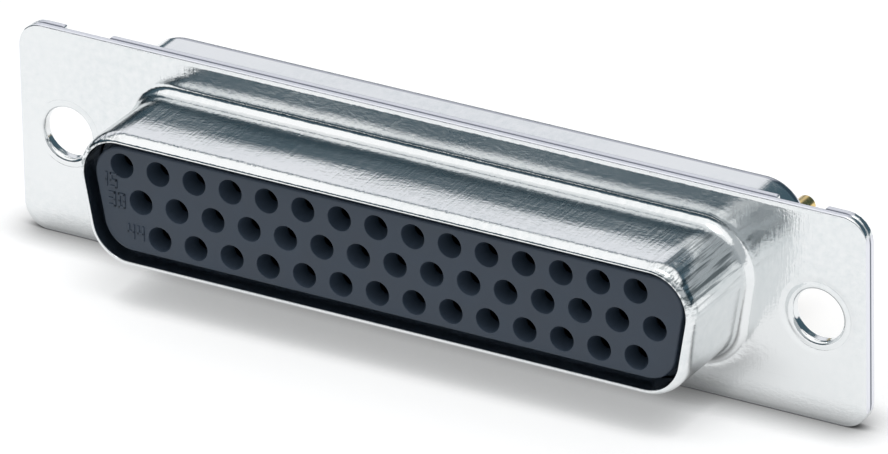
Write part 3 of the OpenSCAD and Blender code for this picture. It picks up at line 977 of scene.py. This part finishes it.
class CONNECTOR_OT_rear_insulator(Operator):
    """Builds the rear insulator, which closes the cavities around the tails"""

    bl_idname = "connector.rear_insulator"
    bl_label = "Rear insulator"

    def execute(self, context):
        scene = context.scene
        shell, mould = scene.connector_shells, scene.connector_insulator
        pin, sizes = scene.connector_contacts, Sizes(scene)
        sheet, split, tail = sizes.sheet, -sizes.split, -sizes.tail_side
        surface = Surface()
        edge, gap = mould.entry_edge, mould.fit_gap
        side = -(sheet + gap)
        boss = -(shell.rim_reach + gap)
        step = -sizes.rear_depth + sheet + gap
        corner = shell.rim_bend - sheet
        bevel = mould.face_bevel
        section = [(boss - bevel - SUPPORT, tail)]
        section += arc((boss - bevel, tail + bevel), bevel, -90, 0, 6)
        section += [(boss, step - SUPPORT), (boss + SUPPORT, step), (side - corner, step)]
        section += [(side, step + corner), (side, split - edge), (side - edge, split)]
        section += [(side - edge - SUPPORT, split)]
        ends = [surface.sweep(lambda by: outline(sizes.rear, by, 18), section)]
        pocket = pin.retainer / 2 + mould.cavity_gap
        tail_bore = pin.cup / 2 + mould.cavity_gap
        floor = split - pin.retainer_length / 2 - mould.cavity_gap
        section = [(tail_bore + edge + SUPPORT, tail)]
        section += arc((tail_bore + edge, tail + edge), edge, 270, 180, 3)
        section += [(tail_bore, floor), (pocket, floor), (pocket, split)]
        for axis in contact_axes().values():
            ends.append(surface.sweep(lambda r: circle(axis, r, 36), section))
        surface.close(ends)
        plastic = material_named("moulded_insulator", lambda: moulding(scene.connector_finish))
        piece = surface.piece("rear_insulator_moulded", plastic)
        dress(piece, "insulator_moulding", "rear_insulator")
        return {"FINISHED"}


def turned_profile(pin, tip, split, tail):
    """Half section (radius, depth) of a contact, from the socket's floor round to
    the cup's floor, with its turned edges rounded."""
    r = pin.edge_round
    barrel, bore, bevel = pin.barrel / 2, pin.bore / 2, pin.tip_bevel
    ring, half = pin.retainer / 2, pin.retainer_length / 2
    cup, cup_bore = pin.cup / 2, pin.cup_bore / 2
    profile = [(bore, tip - pin.bore_depth), (bore, tip), (barrel - bevel, tip)]
    profile += [(barrel, tip - bevel), (barrel, split + half)]
    profile += arc((ring - r, split + half - r), r, 90, 0, 3)
    profile += arc((ring - r, split - half + r), r, 0, -90, 3)
    profile += [(cup, split - half)]
    profile += arc((cup - r, tail + r), r, 0, -90, 3)
    profile += arc((cup_bore + r, tail + r), r, 270, 180, 3)
    profile += [(cup_bore, tail + pin.cup_depth)]
    return profile


def cutter(name, corners, half_width):
    """A prism along X with the given outline of (h, d), to cut with."""
    mesh = bpy.data.meshes.new(name)
    count = len(corners)
    points = [(x, -d, h) for x in (-half_width, half_width) for h, d in corners]
    faces = [tuple(range(count)), tuple(reversed(range(count, 2 * count)))]
    faces += [(i, (i + 1) % count, count + (i + 1) % count, count + i) for i in range(count)]
    mesh.from_pydata(points, [], faces)
    tool = bpy.data.objects.new(name, mesh)
    bpy.context.scene.collection.objects.link(tool)
    return tool


def cut_mesh(mesh, tools):
    """The mesh with every tool cut out of it, worked in millimetres. The tools are
    used up."""
    mesh.transform(Matrix.Scale(1 / MM, 4))
    blank = bpy.data.objects.new("blank", mesh)
    bpy.context.scene.collection.objects.link(blank)
    for tool in tools:
        face_outwards(tool.data)
        tool.data.transform(Matrix.Scale(1 / MM, 4))
        cut = blank.modifiers.new(tool.name, "BOOLEAN")
        cut.operation, cut.solver, cut.object = "DIFFERENCE", "EXACT", tool
    graph = bpy.context.evaluated_depsgraph_get()
    made = bpy.data.meshes.new_from_object(blank.evaluated_get(graph))
    made.transform(Matrix.Scale(MM, 4))
    for used in (blank, *tools):
        bpy.data.objects.remove(used)
    return made


def contact_mesh(pin, tip, split, tail, opens_up):
    """A contact about its own axis: slotted socket, retaining collar, solder cup."""
    surface = Surface()
    profile = turned_profile(pin, tip, split, tail)
    surface.close([surface.sweep(lambda r: circle((0, 0), r, 40), profile)])
    mesh = bpy.data.meshes.new("contact")
    mesh.from_pydata(surface.points, [], surface.faces)
    face_outwards(mesh)
    over, cup = pin.barrel, pin.cup
    way = 1 if opens_up else -1
    slots = [(-over, tip + over), (over, tip + over), (over, tip - pin.slot_length),
             (-over, tip - pin.slot_length)]
    end = tail + pin.scoop
    curve = arc((cup / 2, end - cup / 2), cup / 2, 90, 180, 10)
    scoop = [(cup, tail - cup), (cup, end)] + curve + [(0.0, tail - cup)]
    scoop = [(h * way, d) for h, d in scoop]
    tools = [
        cutter("slot_cutter", slots, pin.slot_width / 2),
        cutter("scoop_cutter", scoop, cup),
    ]
    return cut_mesh(mesh, tools)


class CONNECTOR_OT_contacts(Operator):
    """Builds the contacts, each in its cavity, with its cup open towards the outside"""

    bl_idname = "connector.contacts"
    bl_label = "Contacts"

    def execute(self, context):
        scene = context.scene
        pin, sizes = scene.connector_contacts, Sizes(scene)
        gold = material_named("turned_gold", lambda: gold_plating(scene.connector_finish))
        axes = contact_axes()
        highest = max(h for _, h in axes.values())
        made = {}
        for name, (x, h) in axes.items():
            low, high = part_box(name)
            opens_up = h > highest - 0.5 * MM
            kind = (round(high.y / MM, 2), opens_up)
            if kind not in made:
                made[kind] = contact_mesh(pin, -low.y, -sizes.split, -high.y, opens_up)
                piece = finished(f"{name}_turned", made[kind], gold)
            else:
                piece = bpy.data.objects.new(f"{name}_turned", made[kind])
                scene.collection.objects.link(piece)
            piece.location = (x, 0, h)
            dress(piece, "contact_gold", name)
        return {"FINISHED"}


# ---------------------------------------------------------------- Stage

# The soft lamp over the object: its place and size in metres, and its power.
LAMP_PLACE, LAMP_SIZE, LAMP_WATTS = (0.06, -0.06, 0.60), (0.26, 0.20), 0.75
# Samples and fall-off of the contact shadow painted into the floor where it meets the object.
SHADOW_SAMPLES, SHADOW_FALL = 16, 1.6
# The paper's colour in that shadow and away from it, and its lift to the camera.
PAPER_SHADED, PAPER_OPEN, PAPER_LIFT = (0.05, 0.05, 0.05), (0.63, 0.63, 0.63), 0.45
# Soft borders of the studio, from their low to their high end, along X (to the
# right), Y (behind) or Z (up) of a direction of length 1.
DEEP_Z = (0.1, 0.40)
FRONT_LIGHT_X = (-0.25, 0.05)
UNLIT_WALL_X = (-0.30, -0.08)
CORNER_X, CORNER_RISE = (-0.15, 0.1), 0.15
OVERHEAD_FRONT_Z, OVERHEAD_BACK_Z = (0.50, 0.56), (0.65, 0.70)
BACKDROP_Z, BACKDROP_END_Z = (0.14, 0.24), (0.57, 0.61)
BEHIND_Y = (-0.05, 0.15)


def white_floor(stage):
    """Matte white paper, a touch brighter to the camera so that it meets the white
    background, with a contact shadow painted into its colour and glow from ambient
    occlusion close to what stands on it."""
    material = bpy.data.materials.new("floor_paper")
    material.use_nodes = True
    tree = material.node_tree
    tree.nodes.clear()
    path = node(tree, "ShaderNodeLightPath").outputs
    seen = combined(tree, "MAXIMUM", path["Is Camera Ray"], path["Is Glossy Ray"])
    seen = combined(tree, "MAXIMUM", seen, path["Is Transmission Ray"])
    reach = {"Distance": stage.contact_reach}
    # Painted contact shadow: ambient occlusion darkens the paper's colour and glow.
    painted_contact_shadow = node(tree, "ShaderNodeAmbientOcclusion", reach, samples=SHADOW_SAMPLES)
    open_sky = combined(tree, "POWER", painted_contact_shadow.outputs["AO"], SHADOW_FALL)
    shade = tinted(tree, open_sky, PAPER_SHADED, PAPER_OPEN)
    paper = node(tree, "ShaderNodeBsdfDiffuse", {"Color": shade})
    glow = node(tree, "ShaderNodeEmission", {"Color": (1, 1, 1, 1)})
    lift = combined(tree, "MULTIPLY", combined(tree, "MULTIPLY", seen, PAPER_LIFT), open_sky)
    tree.links.new(lift, glow.inputs["Strength"])
    both = node(tree, "ShaderNodeAddShader")
    tree.links.new(paper.outputs[0], both.inputs[0])
    tree.links.new(glow.outputs[0], both.inputs[1])
    output = tree.nodes.new("ShaderNodeOutputMaterial")
    tree.links.new(both.outputs[0], output.inputs["Surface"])
    return material


def studio_world(stage):
    """A studio: bright overhead, a pale backdrop behind the object on its left and an
    unlit room around the rest, with a dim light to the front on its right."""
    world = bpy.data.worlds.new("studio")
    world.use_nodes = True
    tree = world.node_tree
    tree.nodes.clear()
    way = node(tree, "ShaderNodeTexCoord").outputs["Generated"]
    axes = node(tree, "ShaderNodeSeparateXYZ", {"Vector": way}).outputs
    across, up = axes["X"], axes["Z"]
    dark, white = stage.dark, [stage.overhead] * 3
    front = tinted(tree, between(tree, up, *DEEP_Z), [c * 0.3 for c in dark], dark)
    front = tinted(tree, between(tree, across, *FRONT_LIGHT_X), front, stage.dim)
    rise = combined(tree, "MULTIPLY", between(tree, across, *CORNER_X), CORNER_RISE)
    start = combined(tree, "SUBTRACT", up, rise)
    front = tinted(tree, between(tree, start, *OVERHEAD_FRONT_Z), front, white)
    back = tinted(tree, between(tree, up, *BACKDROP_Z), dark, stage.backdrop)
    back = tinted(tree, between(tree, across, *UNLIT_WALL_X), back, dark)
    back = tinted(tree, between(tree, up, *BACKDROP_END_Z), back, dark)
    back = tinted(tree, between(tree, up, *OVERHEAD_BACK_Z), back, white)
    room = tinted(tree, between(tree, axes["Y"], *BEHIND_Y), front, back)
    light = node(tree, "ShaderNodeBackground", {"Strength": 1.0, "Color": room})
    output = tree.nodes.new("ShaderNodeOutputWorld")
    tree.links.new(light.outputs[0], output.inputs["Surface"])
    return world


def add_camera(stage):
    """The camera, on a long lens, aimed at its target."""
    a, e = stage.azimuth, stage.elevation
    back = Vector((math.sin(a) * math.cos(e), -math.cos(a) * math.cos(e), math.sin(e)))
    data = bpy.data.cameras.new("camera")
    data.sensor_width = 36.0
    data.lens = data.sensor_width * stage.distance / stage.view_width
    data.clip_start = 0.01
    camera = bpy.data.objects.new("camera", data)
    turn = back.to_track_quat("Z", "Y").to_matrix()
    roll = Matrix.Rotation(stage.roll, 3, "Z")
    target = Vector((stage.target_x, 0, stage.target_z))
    place = Matrix.Translation(target + back * stage.distance)
    camera.matrix_world = place @ (turn @ roll).to_4x4()
    bpy.context.scene.collection.objects.link(camera)
    bpy.context.scene.camera = camera


def add_softbox(name, place, size, watts):
    """A soft rectangular lamp that looks at the object."""
    data = bpy.data.lights.new(name, "AREA")
    data.shape = "RECTANGLE"
    data.size, data.size_y = size
    data.energy = watts
    lamp = bpy.data.objects.new(name, data)
    place = Vector(place)
    turn = place.to_track_quat("Z", "Y").to_matrix().to_4x4()
    lamp.matrix_world = Matrix.Translation(place) @ turn
    bpy.context.scene.collection.objects.link(lamp)


class CONNECTOR_OT_stage(Operator):
    """Builds the floor, the light and the camera"""

    bl_idname = "connector.stage"
    bl_label = "Stage"

    def execute(self, context):
        scene = context.scene
        stage = scene.connector_stage
        half, ground = stage.floor_size / 2, CAD_BOX[0].z
        mesh = bpy.data.meshes.new("floor")
        corners = [(x * half, y * half, ground) for x, y in ((-1, -1), (1, -1), (1, 1), (-1, 1))]
        mesh.from_pydata(corners, [], [(0, 1, 2, 3)])
        mesh.materials.append(white_floor(stage))
        floor = bpy.data.objects.new("floor", mesh)
        scene.collection.objects.link(floor)
        scene.world = studio_world(stage)
        scene.view_settings.view_transform = "Standard"
        add_softbox("key_softbox", LAMP_PLACE, LAMP_SIZE, LAMP_WATTS)
        add_camera(stage)
        return {"FINISHED"}


# ---------------------------------------------------------------- Sidebar


class CONNECTOR_PT_panel(Panel):
    """Lists the pieces and their settings"""

    bl_label = "D-sub socket"
    bl_idname = "CONNECTOR_PT_panel"
    bl_space_type = "VIEW_3D"
    bl_region_type = "UI"
    bl_category = "Connector"

    def draw(self, context):
        for operator in OPERATORS:
            self.layout.operator(operator.bl_idname)
        for name in GROUPS:
            box = self.layout.box()
            settings = getattr(context.scene, name)
            for prop in settings.bl_rna.properties:
                if prop.identifier not in ("rna_type", "name"):
                    box.prop(settings, prop.identifier)


GROUPS = {
    "connector_shells": ShellSettings,
    "connector_insulator": InsulatorSettings,
    "connector_contacts": ContactSettings,
    "connector_finish": FinishSettings,
    "connector_stage": StageSettings,
}
OPERATORS = (
    CONNECTOR_OT_front_shell,
    CONNECTOR_OT_rear_shell,
    CONNECTOR_OT_front_insulator,
    CONNECTOR_OT_rear_insulator,
    CONNECTOR_OT_contacts,
    CONNECTOR_OT_stage,
)


def register():
    for cls in (*GROUPS.values(), *OPERATORS, CONNECTOR_PT_panel):
        bpy.utils.register_class(cls)
    for name, cls in GROUPS.items():
        setattr(bpy.types.Scene, name, PointerProperty(type=cls))


def unregister():
    for name in GROUPS:
        delattr(bpy.types.Scene, name)
    for cls in reversed((*GROUPS.values(), *OPERATORS, CONNECTOR_PT_panel)):
        bpy.utils.unregister_class(cls)


def main():
    register()
    bpy.ops.connector.front_shell()
    bpy.ops.connector.rear_shell()
    bpy.ops.connector.front_insulator()
    bpy.ops.connector.rear_insulator()
    bpy.ops.connector.contacts()
    bpy.ops.connector.stage()


if __name__ == "__main__":
    main()
